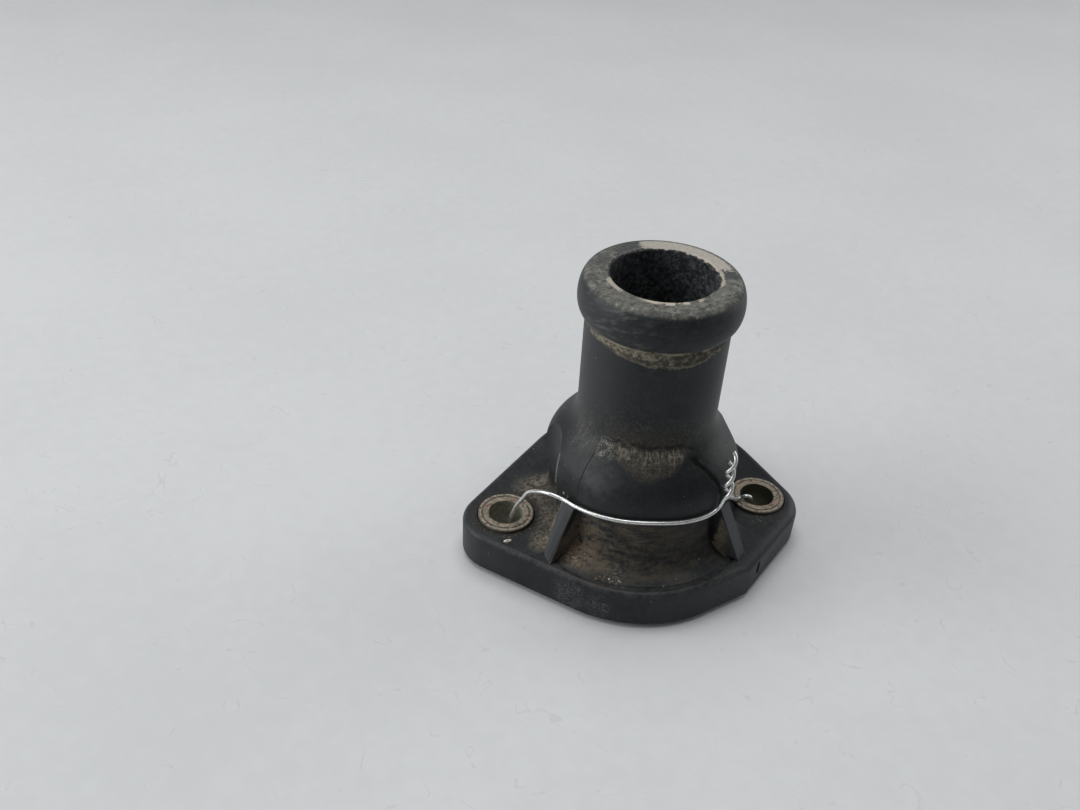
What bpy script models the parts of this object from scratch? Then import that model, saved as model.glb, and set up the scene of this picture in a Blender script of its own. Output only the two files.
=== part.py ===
# Coolant flange: a moulded two-bolt cover with a straight hose neck,
# pressed steel bushes in its bolt ears and a galvanised tie wire through them.
# Metres, +Z up. The neck's axis is Z, the bolts lie along X.

import bpy
import bmesh
import math
from mathutils import Vector

for old in list(bpy.data.objects):
    bpy.data.objects.remove(old, do_unlink=True)

MM = 0.001
RAD = math.radians

# plate
BOLT_SPACING = 63.8 * MM
PLATE_THICK = 9.5 * MM
EAR_RADIUS = 10.45 * MM
FRONT_RADIUS = 30.3 * MM
BACK_RADIUS = 33.0 * MM
FLAT_NORMAL = RAD(-68.0)
RIGHT_FRONT_NORMAL = RAD(-45.6)
RIGHT_BACK_NORMAL = RAD(18.0)
LEFT_BACK_NORMAL = RAD(138.8)
EDGE_ROUND = 1.1 * MM
RIGHT_EDGE_ROUND = 2.4 * MM
RIGHT_BACK_ROUND = 3.3 * MM
LEFT_BACK_ROUND = 2.1 * MM
FOOT_CHAMFER = 0.3 * MM
RIM_GROOVE_WIDTH = 1.1 * MM
RIM_GROOVE_DEPTH = 0.45 * MM
PRY_SLOT_FROM_CORNER = 4.9 * MM
PRY_SLOT_WIDTH = 0.9 * MM
PRY_SLOT_HEIGHT = 3.0 * MM
PRY_SLOT_DEPTH = 0.8 * MM
PRY_SLOT_MID_Z = 4.9 * MM

# skirt, dome and neck, turned about Z
SKIRT_FOOT_RADIUS = 27.6 * MM
SKIRT_HEIGHT = 14.3 * MM
DOME_RADIUS = 22.8 * MM
DOME_OVERHANG = 1.3 * MM
DOME_LIP = 1.0 * MM
SHOULDER_START = 2.4 * MM
SHOULDER_MID = 11.0 * MM
SHOULDER_END = 18.0 * MM
NECK_RADIUS = 16.0 * MM
TOTAL_HEIGHT = 74.1 * MM
BEAD_RADIUS = 18.0 * MM
BEAD_DOWN = 5.2 * MM
BEAD_UNDERSIDE = 4.1 * MM
MOUTH_RADIUS = 15.7 * MM

# raised front pad of the dome
PAD_GROW = 0.45 * MM
PAD_SHIFT_X = 0.55 * MM
PAD_SHIFT_Y = -0.45 * MM
PAD_LEFT_ANGLE = RAD(-141.0)
PAD_RIGHT_X = 15.6 * MM
PAD_RIGHT_Y = -16.9 * MM
PAD_TOP = 15.0 * MM

# gusset ribs
RIB_THICK = 4.0 * MM
RIB_LEFT_ANGLE = RAD(-147.7)
RIB_RIGHT_ANGLE = RAD(-44.0)
RIB_DROP = 1.6 * MM
RIB_TIP = 1.4 * MM

# passage
BORE_RADIUS = 11.45 * MM
BORE_LIP = 0.6 * MM
SKIRT_WALL = 4.3 * MM
REGISTER_STEP = 4.1 * MM
REGISTER_DEPTH = 3.4 * MM
REGISTER_CHAMFER = 1.0 * MM
ROOF_WALL = 4.4 * MM

# bolt heads, bushes and their fit
HEAD_CLEARANCE_RADIUS = 12.3 * MM
BUSH_OUTER_RADIUS = 6.8 * MM
BUSH_BORE_RADIUS = 4.15 * MM
BUSH_PROUD = 0.7 * MM
BUSH_OUTER_CHAMFER = 0.3 * MM
BUSH_BORE_CHAMFER = 0.15 * MM
FIT_GAP = 0.3 * MM

# tie wire
WIRE_RADIUS = 0.48 * MM
WIRE_BOW = 9.0 * MM
TWIST_RADIUS = 0.80 * MM
TWIST_TURNS = 1.6
TWIST_HEIGHT = 10.1 * MM
TWIST_SHORT_END = 0.8
TWIST_ANGLE = RAD(-55.4)
TWIST_LEAN_Y = 2.9 * MM
TWIST_LEAN_X = 0.5 * MM

TURN_STEPS = 64
SMALL = 0.002 * MM

HALF_SPACING = BOLT_SPACING / 2
DOME_FOOT = PLATE_THICK + SKIRT_HEIGHT
SKIRT_TOP_RADIUS = DOME_RADIUS - DOME_OVERHANG
CAVITY_RADIUS = SKIRT_TOP_RADIUS - SKIRT_WALL
REGISTER_RADIUS = CAVITY_RADIUS + REGISTER_STEP
LIFT = FIT_GAP + 2 * WIRE_RADIUS


# materials

def finish(name, colour, roughness, metallic):
    mat = bpy.data.materials.new(name)
    mat.use_nodes = True
    bsdf = mat.node_tree.nodes["Principled BSDF"]
    bsdf.inputs["Base Color"].default_value = (*colour, 1.0)
    bsdf.inputs["Roughness"].default_value = roughness
    bsdf.inputs["Metallic"].default_value = metallic
    return mat


BLACK_PLASTIC = finish("black_plastic", (0.030, 0.033, 0.036), 0.55, 0.0)
PLATED_STEEL = finish("plated_steel", (0.47, 0.40, 0.28), 0.42, 0.9)
GALVANISED = finish("galvanised_wire", (0.62, 0.64, 0.63), 0.35, 1.0)


# helpers

def link(name, mesh, mat=None, parent=None):
    obj = bpy.data.objects.new(name, mesh)
    bpy.context.collection.objects.link(obj)
    if mat:
        mesh.materials.append(mat)
    obj.parent = parent
    return obj


def mesh_from(bm, name, smooth=35):
    bmesh.ops.recalc_face_normals(bm, faces=bm.faces)
    mesh = bpy.data.meshes.new(name)
    bm.to_mesh(mesh)
    bm.free()
    mesh.shade_smooth()
    mesh.set_sharp_from_angle(angle=RAD(smooth))
    return mesh


def turned(name, profile, start=0.0, sweep=2 * math.pi, steps=TURN_STEPS):
    """Spin a closed (radius, height) profile about Z."""
    bm = bmesh.new()
    verts = [bm.verts.new((r * math.cos(start), r * math.sin(start), z)) for r, z in profile]
    edges = [bm.edges.new((verts[i], verts[(i + 1) % len(verts)])) for i in range(len(verts))]
    full = abs(sweep - 2 * math.pi) < 1e-9
    if full:
        bmesh.ops.spin(bm, geom=verts + edges, axis=(0, 0, 1), cent=(0, 0, 0),
                       angle=sweep, steps=steps, use_merge=True, use_duplicate=False)
    else:
        face = bm.faces.new(verts)
        bmesh.ops.spin(bm, geom=[face], axis=(0, 0, 1), cent=(0, 0, 0),
                       angle=sweep, steps=steps, use_duplicate=False)
        bm.faces.ensure_lookup_table()
    bmesh.ops.remove_doubles(bm, verts=bm.verts, dist=1e-6)
    return mesh_from(bm, name)


def prism(name, outline, low, high):
    """Extrude a closed plan outline from one height to another."""
    bm = bmesh.new()
    face = bm.faces.new([bm.verts.new((x, y, low)) for x, y in outline])
    grown = bmesh.ops.extrude_face_region(bm, geom=[face])
    moved = [v for v in grown["geom"] if isinstance(v, bmesh.types.BMVert)]
    bmesh.ops.translate(bm, verts=moved, vec=(0, 0, high - low))
    return mesh_from(bm, name)


def bezier(p0, p1, p2, p3, steps):
    """Points after p0 up to p3 along a cubic curve."""
    out = []
    for i in range(1, steps + 1):
        t = i / steps
        s = 1 - t
        out.append(tuple(s ** 3 * a + 3 * s * s * t * b + 3 * s * t * t * c + t ** 3 * d
                         for a, b, c, d in zip(p0, p1, p2, p3)))
    return out


def arc(cx, cy, radius, start, stop, step=RAD(5.5)):
    count = max(1, math.ceil(abs(stop - start) / step))
    return [(cx + radius * math.cos(start + (stop - start) * i / count),
             cy + radius * math.sin(start + (stop - start) * i / count)) for i in range(count + 1)]


def meet(angle_a, dist_a, angle_b, dist_b):
    """Where two lines meet, each given by its normal's angle and its distance from Z."""
    det = math.sin(angle_b - angle_a)
    return ((dist_a * math.sin(angle_b) - dist_b * math.sin(angle_a)) / det,
            (dist_b * math.cos(angle_a) - dist_a * math.cos(angle_b)) / det)


def hidden(obj):
    obj.hide_render = True
    obj.display_type = "WIRE"
    return obj


def boolean(obj, other, operation):
    mod = obj.modifiers.new(other.name, "BOOLEAN")
    mod.operation = operation
    mod.object = other
    mod.solver = "EXACT"


# plate outline: two ears, tangent edges, a front arc and a back arc

def ear_line(normal, side):
    """Distance from Z of the edge that touches the ear on that side."""
    return side * HALF_SPACING * math.cos(normal) + EAR_RADIUS


left_front_normal = -math.pi + math.acos((FRONT_RADIUS - EAR_RADIUS) / HALF_SPACING)
right_front_dist = ear_line(RIGHT_FRONT_NORMAL, 1)
corner = meet(FLAT_NORMAL, FRONT_RADIUS, RIGHT_FRONT_NORMAL, right_front_dist)
back_centre = meet(RIGHT_BACK_NORMAL, ear_line(RIGHT_BACK_NORMAL, 1) - BACK_RADIUS,
                   LEFT_BACK_NORMAL, ear_line(LEFT_BACK_NORMAL, -1) - BACK_RADIUS)


def blend(low, high, count):
    """Evenly stepped values, for an edge rounding that changes along the outline."""
    return [low + (high - low) * i / (count - 1) for i in range(count)]


outline = arc(0, 0, FRONT_RADIUS, left_front_normal, FLAT_NORMAL)
rounds = [EDGE_ROUND] * len(outline)
outline.append(corner)
rounds.append(EDGE_ROUND)
step_along = 0.35 * MM
outline.append((corner[0] - step_along * math.sin(RIGHT_FRONT_NORMAL),
                corner[1] + step_along * math.cos(RIGHT_FRONT_NORMAL)))
rounds.append(RIGHT_EDGE_ROUND)
right_ear = arc(HALF_SPACING, 0, EAR_RADIUS, RIGHT_FRONT_NORMAL, RIGHT_BACK_NORMAL)
outline += right_ear
rounds += blend(RIGHT_EDGE_ROUND, RIGHT_BACK_ROUND, len(right_ear))
back = arc(*back_centre, BACK_RADIUS, RIGHT_BACK_NORMAL, LEFT_BACK_NORMAL)
left_ear = arc(-HALF_SPACING, 0, EAR_RADIUS, LEFT_BACK_NORMAL, left_front_normal + 2 * math.pi)
outline += back + left_ear
rounds += blend(RIGHT_BACK_ROUND, LEFT_BACK_ROUND, len(back))
rounds += blend(LEFT_BACK_ROUND, EDGE_ROUND, len(left_ear))

# the whole part stands on its lower wire, centred under the plate's box
base = bpy.data.objects.new("flange_base", None)
bpy.context.collection.objects.link(base)
base.location = (-(min(p[0] for p in outline) + max(p[0] for p in outline)) / 2,
                 -(min(p[1] for p in outline) + max(p[1] for p in outline)) / 2, LIFT)


def inset(points, amounts):
    """Move each outline point inwards along its mitre."""
    out = []
    count = len(points)
    for i, (x, y) in enumerate(points):
        before = Vector((x, y)) - Vector(points[i - 1])
        after = Vector(points[(i + 1) % count]) - Vector((x, y))
        n0 = Vector((before.y, -before.x)).normalized()
        n1 = Vector((after.y, -after.x)).normalized()
        mitre = (n0 + n1) / (1 + n0.dot(n1))
        out.append((x - mitre.x * amounts[i], y - mitre.y * amounts[i]))
    return out


def plate_mesh():
    """Stack of outline rings: foot chamfer, straight side, rounded top edge."""
    rings = [(inset(outline, [FOOT_CHAMFER] * len(outline)), [0.0] * len(outline)),
             (outline, [FOOT_CHAMFER] * len(outline))]
    for k in range(5):
        turn = math.pi / 2 * k / 4
        rings.append((inset(outline, [r * (1 - math.cos(turn)) for r in rounds]),
                      [PLATE_THICK - r * (1 - math.sin(turn)) for r in rounds]))
    bm = bmesh.new()
    loops = []
    for points, heights in rings:
        loops.append([bm.verts.new((x, y, z)) for (x, y), z in zip(points, heights)])
    for low, high in zip(loops, loops[1:]):
        for i in range(len(low)):
            j = (i + 1) % len(low)
            bm.faces.new((low[i], low[j], high[j], high[i]))
    bm.faces.new(list(reversed(loops[0])))
    bm.faces.new(loops[-1])
    return mesh_from(bm, "flange_body")


flange = link("flange_body", plate_mesh(), BLACK_PLASTIC, base)


# turned outside: flared skirt, lipped dome, shoulder, neck and hose bead

ROOT = PLATE_THICK / 2
BEAD_Z = TOTAL_HEIGHT - BEAD_DOWN


def outer_profile():
    points = [(0, ROOT), (SKIRT_FOOT_RADIUS, ROOT), (SKIRT_FOOT_RADIUS, PLATE_THICK)]
    flare = SKIRT_FOOT_RADIUS - SKIRT_TOP_RADIUS
    points += bezier(points[-1], (SKIRT_FOOT_RADIUS - flare * 0.85, PLATE_THICK + SKIRT_HEIGHT * 0.06),
                     (SKIRT_TOP_RADIUS, PLATE_THICK + SKIRT_HEIGHT * 0.25),
                     (SKIRT_TOP_RADIUS, PLATE_THICK + SKIRT_HEIGHT * 0.62), 7)
    points.append((SKIRT_TOP_RADIUS, DOME_FOOT))
    points += dome_profile(0.0)
    points += [(NECK_RADIUS, BEAD_Z - BEAD_UNDERSIDE)]
    for i in range(1, 7):
        turn = -math.pi / 2 + math.pi / 2 * i / 6
        points.append((NECK_RADIUS + (BEAD_RADIUS - NECK_RADIUS) * math.cos(turn),
                       BEAD_Z + BEAD_UNDERSIDE * math.sin(turn)))
    for i in range(1, 7):
        turn = math.pi / 2 * i / 6
        points.append((MOUTH_RADIUS + (BEAD_RADIUS - MOUTH_RADIUS) * math.cos(turn),
                       BEAD_Z + BEAD_DOWN * math.sin(turn)))
    points.append((0, TOTAL_HEIGHT))
    return points


def dome_profile(grow):
    """Lip, near upright wall and one smooth curve over the shoulder into the neck."""
    wide = DOME_RADIUS + grow
    top = (wide, DOME_FOOT + DOME_LIP + SHOULDER_START)
    points = [(wide, DOME_FOOT + DOME_LIP), top]
    points += bezier(top, (wide, DOME_FOOT + SHOULDER_MID), (NECK_RADIUS + grow, DOME_FOOT + SHOULDER_MID),
                     (NECK_RADIUS + grow, DOME_FOOT + SHOULDER_END), 10)
    return points


cover = hidden(link("cover_form", turned("cover_form", outer_profile()), None, base))

# raised front pad: the dome's own profile, set a little forward, kept between its two side faces
pad_points = [(r, z) for r, z in dome_profile(PAD_GROW) if z < DOME_FOOT + PAD_TOP]
pad_profile = [(0, DOME_FOOT - SMALL), (SKIRT_TOP_RADIUS, DOME_FOOT - SMALL)] + pad_points
pad_profile.append((0, pad_points[-1][1]))
pad = hidden(link("pad_form", turned("pad_form", pad_profile), None, base))
pad.location = (PAD_SHIFT_X, PAD_SHIFT_Y, 0)
reach = 1.6 * DOME_RADIUS
side = Vector((math.cos(PAD_LEFT_ANGLE), math.sin(PAD_LEFT_ANGLE)))
window_outline = [(side.x * NECK_RADIUS / 2, side.y * NECK_RADIUS / 2), (side.x * reach, side.y * reach),
                  (0, -reach), (reach, -reach), (reach, PAD_RIGHT_Y), (PAD_RIGHT_X, PAD_RIGHT_Y),
                  (NECK_RADIUS / 4, PAD_RIGHT_Y + 1.4 * MM), (0, -NECK_RADIUS / 2)]
window = hidden(link("pad_window", prism("pad_window", window_outline, 0, TOTAL_HEIGHT), None, base))
boolean(pad, window, "INTERSECT")
boolean(cover, pad, "UNION")


# gusset ribs between the dome's foot and the rim

def rib_mesh(name):
    top = DOME_FOOT - RIB_DROP
    inner = SKIRT_TOP_RADIUS - RIB_THICK
    shoulder = DOME_RADIUS + FIT_GAP
    foot = SKIRT_FOOT_RADIUS + RIB_DROP / 4
    bm = bmesh.new()
    for y in (-RIB_THICK / 2, RIB_THICK / 2):
        for r, z in ((inner, ROOT), (foot, ROOT), (foot, PLATE_THICK), (shoulder, top), (inner, top + RIB_DROP / 2)):
            bm.verts.new((r, y, z))
    for z in (ROOT, PLATE_THICK - FIT_GAP / 2):
        bm.verts.new((foot + RIB_TIP, 0, z))
    bmesh.ops.convex_hull(bm, input=bm.verts)
    return mesh_from(bm, name, 20)


for rib_name, rib_angle in (("rib_left_form", RIB_LEFT_ANGLE), ("rib_right_form", RIB_RIGHT_ANGLE)):
    rib = hidden(link(rib_name, rib_mesh(rib_name), None, base))
    rib.rotation_euler = (0, 0, rib_angle)
    boolean(cover, rib, "UNION")

# room for each bolt's head beside the dome, then the cover joins the plate
for tag, place in (("left", -HALF_SPACING), ("right", HALF_SPACING)):
    head = hidden(link("head_room_" + tag, turned("head_room_" + tag, [
        (0, 0), (HEAD_CLEARANCE_RADIUS, 0), (HEAD_CLEARANCE_RADIUS, TOTAL_HEIGHT), (0, TOTAL_HEIGHT)]), None, base))
    head.location = (place, 0, 0)
    boolean(cover, head, "DIFFERENCE")
boolean(flange, cover, "UNION")

# fine groove between the skirt's foot and the rim, from rib to rib
groove_mid = SKIRT_FOOT_RADIUS + RIM_GROOVE_WIDTH / 2
groove_pad = RAD(5)
groove = hidden(link("rim_groove", turned("rim_groove", [
    (groove_mid, PLATE_THICK - RIM_GROOVE_DEPTH),
    (groove_mid + RIM_GROOVE_WIDTH / 2, PLATE_THICK + FIT_GAP),
    (groove_mid - RIM_GROOVE_WIDTH / 2, PLATE_THICK + FIT_GAP)],
    RIB_LEFT_ANGLE + groove_pad, RIB_RIGHT_ANGLE - RIB_LEFT_ANGLE - 2 * groove_pad, 20), None, base))
boolean(flange, groove, "DIFFERENCE")


# passage, cut from below: seal register, thermostat chamber, roof and neck bore

def passage_profile():
    roof = DOME_FOOT + SHOULDER_START
    points = [(0, -PLATE_THICK), (REGISTER_RADIUS, -PLATE_THICK), (REGISTER_RADIUS, REGISTER_DEPTH - REGISTER_CHAMFER),
              (REGISTER_RADIUS - REGISTER_CHAMFER, REGISTER_DEPTH), (CAVITY_RADIUS, REGISTER_DEPTH),
              (CAVITY_RADIUS, roof)]
    rise = SHOULDER_END - ROOF_WALL
    points += bezier(points[-1], (CAVITY_RADIUS, roof + rise * 0.55), (BORE_RADIUS, roof + rise * 0.35),
                     (BORE_RADIUS, roof + rise), 7)
    points += [(BORE_RADIUS, TOTAL_HEIGHT - BORE_LIP), (BORE_RADIUS + BORE_LIP * 0.3, TOTAL_HEIGHT - BORE_LIP * 0.3),
               (BORE_RADIUS + BORE_LIP, TOTAL_HEIGHT), (BORE_RADIUS + BORE_LIP, TOTAL_HEIGHT + PLATE_THICK),
               (0, TOTAL_HEIGHT + PLATE_THICK)]
    return points


passage = hidden(link("passage", turned("passage", passage_profile()), None, base))
boolean(flange, passage, "DIFFERENCE")

# bores for the bushes
for tag, place in (("left", -HALF_SPACING), ("right", HALF_SPACING)):
    bore = hidden(link("bush_bore_" + tag, turned("bush_bore_" + tag, [
        (0, -PLATE_THICK), (BUSH_OUTER_RADIUS + FIT_GAP, -PLATE_THICK),
        (BUSH_OUTER_RADIUS + FIT_GAP, 2 * PLATE_THICK), (0, 2 * PLATE_THICK)], steps=48), None, base))
    bore.location = (place, 0, 0)
    boolean(flange, bore, "DIFFERENCE")

# pry slot in the right front edge
along = Vector((-math.sin(RIGHT_FRONT_NORMAL), math.cos(RIGHT_FRONT_NORMAL)))
slot_mid = Vector(corner) + along * PRY_SLOT_FROM_CORNER
slot_box = bmesh.new()
bmesh.ops.create_cube(slot_box, size=1.0)
bmesh.ops.scale(slot_box, verts=slot_box.verts, vec=(2 * PRY_SLOT_DEPTH, PRY_SLOT_WIDTH, PRY_SLOT_HEIGHT))
pry_slot = hidden(link("pry_slot", mesh_from(slot_box, "pry_slot"), None, base))
pry_slot.location = (slot_mid.x, slot_mid.y, PRY_SLOT_MID_Z)
pry_slot.rotation_euler = (0, 0, RIGHT_FRONT_NORMAL)
boolean(flange, pry_slot, "DIFFERENCE")


# bushes: one turned sleeve used twice

bush_top = PLATE_THICK + BUSH_PROUD
bush_mesh = turned("bush", [
    (BUSH_BORE_RADIUS + BUSH_BORE_CHAMFER, 0), (BUSH_OUTER_RADIUS - BUSH_OUTER_CHAMFER, 0),
    (BUSH_OUTER_RADIUS, BUSH_OUTER_CHAMFER), (BUSH_OUTER_RADIUS, bush_top - BUSH_OUTER_CHAMFER),
    (BUSH_OUTER_RADIUS - BUSH_OUTER_CHAMFER, bush_top), (BUSH_BORE_RADIUS + BUSH_BORE_CHAMFER, bush_top),
    (BUSH_BORE_RADIUS, bush_top - BUSH_BORE_CHAMFER), (BUSH_BORE_RADIUS, BUSH_BORE_CHAMFER)], steps=48)
bush_mesh.materials.append(PLATED_STEEL)
for tag, place in (("left", -HALF_SPACING), ("right", HALF_SPACING)):
    bush = link("bush_" + tag, bush_mesh, None, base)
    bush.location = (place, 0, 0)


# tie wire: up through the right bush, twisted at the right, round the dome, down the left bush, back underneath

def stand_off(angle):
    """Radius at which the wire just clears the dome and its pad."""
    pad_out = PAD_GROW + PAD_SHIFT_X * math.cos(angle) + PAD_SHIFT_Y * math.sin(angle)
    return DOME_RADIUS + max(0.0, pad_out) + FIT_GAP + WIRE_RADIUS


def around(degrees, height, extra=0.0):
    angle = RAD(degrees)
    radius = stand_off(angle) + extra
    return Vector((radius * math.cos(angle), radius * math.sin(angle), DOME_FOOT + height))


def strand(phase, count, reach, taper):
    """One strand of the twisted pair, from the foot of the twist to its tip."""
    foot = around(math.degrees(TWIST_ANGLE), 5.1 * MM, 0.75 * MM)
    points = []
    for i in range(count + 1):
        t = reach * i / count
        turn = phase + 2 * math.pi * TWIST_TURNS * t
        spread = TWIST_RADIUS * (1 + taper * t)
        mid = foot + Vector((TWIST_LEAN_X, TWIST_LEAN_Y, TWIST_HEIGHT)) * t
        points.append(mid + Vector((math.cos(turn), math.sin(turn), 0)) * spread)
    return points


def smooth(points, spacing):
    """Evenly spaced points on a smooth curve through the route's own points."""
    out = []
    padded = [points[0] * 2 - points[1]] + points + [points[-1] * 2 - points[-2]]
    for a, b, c, d in zip(padded, padded[1:], padded[2:], padded[3:]):
        count = max(1, round((c - b).length / spacing))
        for i in range(count):
            t = i / count
            out.append(0.5 * ((2 * b) + (c - a) * t + (2 * a - 5 * b + 4 * c - d) * t * t
                              + (3 * b - a - 3 * c + d) * t ** 3))
    out.append(points[-1])
    return out


below = -FIT_GAP - WIRE_RADIUS
rim = bush_top + WIRE_RADIUS
left, right = Vector((-HALF_SPACING, 0, 0)), Vector((HALF_SPACING, 0, 0))
hole = BUSH_BORE_RADIUS
twist_steps = 22
route_front = [
    around(-59.0, 2.3 * MM), around(-68.0, 1.6 * MM), around(-82.0, 1.9 * MM), around(-98.0, 2.2 * MM),
    around(-113.0, 1.7 * MM), around(-127.0, 1.1 * MM), around(-139.0, 0.5 * MM, 0.1 * MM),
    around(-149.0, 0.0, 0.4 * MM), around(-158.5, -0.2 * MM, 3.0 * MM),
    left + Vector((hole * 1.15, -hole * 1.6, DOME_FOOT - 1.0 * MM)),
    left + Vector((hole * 0.80, -hole * 1.20, DOME_FOOT - 3.4 * MM)),
    left + Vector((hole * 0.45, -hole * 0.90, rim + 5.0 * MM)),
    left + Vector((hole * 0.20, -hole * 0.70, rim)),
    left + Vector((hole * 0.10, -hole * 0.58, PLATE_THICK / 2)),
    left + Vector((hole * 0.15, -hole * 0.52, 0.9 * MM)),
    left + Vector((hole * 0.55, -hole * 0.45, below)),
    Vector((-HALF_SPACING * 0.62, WIRE_BOW * 0.35, below)),
    Vector((0, WIRE_BOW, below)),
    Vector((HALF_SPACING * 0.62, WIRE_BOW * 0.40, below)),
    right + Vector((-hole * 0.70, -hole * 0.45, below)),
    right + Vector((-hole * 0.30, -hole * 0.50, 0.9 * MM)),
    right + Vector((-hole * 0.36, -hole * 0.49, PLATE_THICK / 2)),
    right + Vector((-hole * 0.42, -hole * 0.48, PLATE_THICK * 0.85)),
    right + Vector((-hole * 0.56, -hole * 0.45, rim)),
]
first = strand(RAD(200), twist_steps, 1.0, 0.25)
second = strand(RAD(20), twist_steps - 4, TWIST_SHORT_END, 0.10)
last_leg = second[0].lerp(route_front[-1], 0.35)
middle = smooth([first[0]] + route_front + [last_leg, second[0]], 5.2 * WIRE_RADIUS)
wire_points = list(reversed(first)) + middle[1:-1] + second
for point in wire_points:
    point.z = max(point.z, below)

curve = bpy.data.curves.new("tie_wire", "CURVE")
curve.dimensions = "3D"
curve.bevel_depth = WIRE_RADIUS
curve.bevel_resolution = 2
curve.use_fill_caps = True
spline = curve.splines.new("POLY")
spline.points.add(len(wire_points) - 1)
for point, where in zip(spline.points, wire_points):
    point.co = (*where, 1.0)
wire = bpy.data.objects.new("tie_wire", curve)
bpy.context.collection.objects.link(wire)
wire.parent = base
curve.materials.append(GALVANISED)
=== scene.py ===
import math
import random
import bpy
from mathutils import Matrix, Vector


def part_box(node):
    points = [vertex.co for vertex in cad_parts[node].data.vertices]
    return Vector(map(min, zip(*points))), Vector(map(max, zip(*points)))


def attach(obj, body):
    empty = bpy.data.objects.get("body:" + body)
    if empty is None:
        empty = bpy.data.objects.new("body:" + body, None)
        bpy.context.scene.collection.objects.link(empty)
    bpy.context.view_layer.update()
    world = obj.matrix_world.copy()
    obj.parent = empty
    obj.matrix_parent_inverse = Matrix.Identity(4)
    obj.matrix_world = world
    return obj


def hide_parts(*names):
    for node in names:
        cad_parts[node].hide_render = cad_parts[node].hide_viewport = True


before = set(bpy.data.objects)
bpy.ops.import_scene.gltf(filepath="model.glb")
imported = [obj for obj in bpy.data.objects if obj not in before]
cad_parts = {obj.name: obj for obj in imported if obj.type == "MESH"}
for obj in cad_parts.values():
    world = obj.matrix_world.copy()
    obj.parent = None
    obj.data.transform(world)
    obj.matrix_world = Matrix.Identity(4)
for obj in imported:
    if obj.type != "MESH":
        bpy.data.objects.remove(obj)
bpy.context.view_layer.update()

mm = 0.001
deg = math.radians

# the two bushes give the bolt line, the neck's axis and the mating face
boltLeft = sum(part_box("bush_left"), Vector()) / 2
boltRight = sum(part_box("bush_right"), Vector()) / 2
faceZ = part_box("bush_left")[0].z
axis = Vector(((boltLeft.x + boltRight.x) / 2, (boltLeft.y + boltRight.y) / 2, faceZ))
halfSpacing = (boltRight.x - boltLeft.x) / 2 / mm
mouthZ = (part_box("flange_body")[1].z - faceZ) / mm
bushTop = (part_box("bush_left")[1].z - faceZ) / mm
bushOuter = (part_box("bush_left")[1].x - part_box("bush_left")[0].x) / 2 / mm
fitGap = 0.3
beyond = 5.0  # how far a cutting form reaches past the part
print("frame loaded, bolts", round(2 * halfSpacing, 2), "mm apart")


# modelling tools: sizes are in mm from the neck's axis and the mating face

def deselect():
    if bpy.context.mode != "OBJECT":
        bpy.ops.object.mode_set(mode="OBJECT")
    bpy.ops.object.select_all(action="DESELECT")


def alone(piece):
    deselect()
    piece.select_set(True)
    bpy.context.view_layer.objects.active = piece


def named(name):
    piece = bpy.context.object
    piece.name = piece.data.name = name
    return piece


def applied(piece):
    alone(piece)
    for modifier in list(piece.modifiers):
        bpy.ops.object.modifier_apply(modifier=modifier.name)
    return piece


def curveTo(p0, p1, p2, p3, steps):  # points after p0 up to p3 on a cubic curve
    points = []
    for i in range(1, steps + 1):
        t = i / steps
        s = 1 - t
        points.append(tuple(s ** 3 * a + 3 * s * s * t * b + 3 * s * t * t * c + t ** 3 * d
                            for a, b, c, d in zip(p0, p1, p2, p3)))
    return points


def quarter(centre, across, up, start, steps):  # a quarter ellipse after its first point
    return [(centre[0] + across * math.cos(deg(start + 90 * i / steps)),
             centre[1] + up * math.sin(deg(start + 90 * i / steps))) for i in range(1, steps + 1)]


def traced(name, points):  # one vertex pulled along a line of points, left selected in edit mode
    deselect()
    bpy.ops.mesh.primitive_plane_add(size=mm)
    piece = named(name)
    bpy.ops.object.mode_set(mode="EDIT")
    bpy.ops.mesh.select_mode(type="VERT")
    bpy.ops.mesh.select_all(action="SELECT")
    bpy.ops.mesh.merge(type="CENTER")
    bpy.ops.transform.translate(value=tuple(v * mm for v in points[0]))
    for a, b in zip(points, points[1:]):
        step = tuple((q - p) * mm for p, q in zip(a, b))
        bpy.ops.mesh.extrude_vertices_move(TRANSFORM_OT_translate={"value": step})
    bpy.ops.mesh.select_all(action="SELECT")
    return piece


def outward():  # faces turned outwards, then back to object mode
    bpy.ops.mesh.select_all(action="SELECT")
    bpy.ops.mesh.normals_make_consistent(inside=False)
    bpy.ops.object.mode_set(mode="OBJECT")


def turned(name, profile, steps=256):  # a profile of (radius, height) spun about Z
    piece = traced(name, [(r, 0, z) for r, z in profile])
    bpy.ops.mesh.spin(steps=steps, angle=deg(360), center=(0, 0, 0), axis=(0, 0, 1))
    bpy.ops.mesh.select_all(action="SELECT")
    bpy.ops.mesh.remove_doubles(threshold=0.001 * mm)
    outward()
    return piece


def prism(name, outline, low, high):  # a filled outline pulled up into a solid
    piece = traced(name, [(x, y, low) for x, y in outline])
    bpy.ops.mesh.edge_face_add()
    bpy.ops.mesh.extrude_region_move(TRANSFORM_OT_translate={"value": (0, 0, (high - low) * mm)})
    outward()
    return piece


def column(name, x, y, radius, low, high, corners=256):
    deselect()
    bpy.ops.mesh.primitive_cylinder_add(vertices=corners, radius=radius * mm, depth=(high - low) * mm,
                                        location=(x * mm, y * mm, (low + high) / 2 * mm))
    bpy.ops.object.transform_apply()
    return named(name)


def joined(pieces, name):
    deselect()
    for piece in pieces:
        piece.select_set(True)
    bpy.context.view_layer.objects.active = pieces[0]
    bpy.ops.object.join()
    return named(name)


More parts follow.
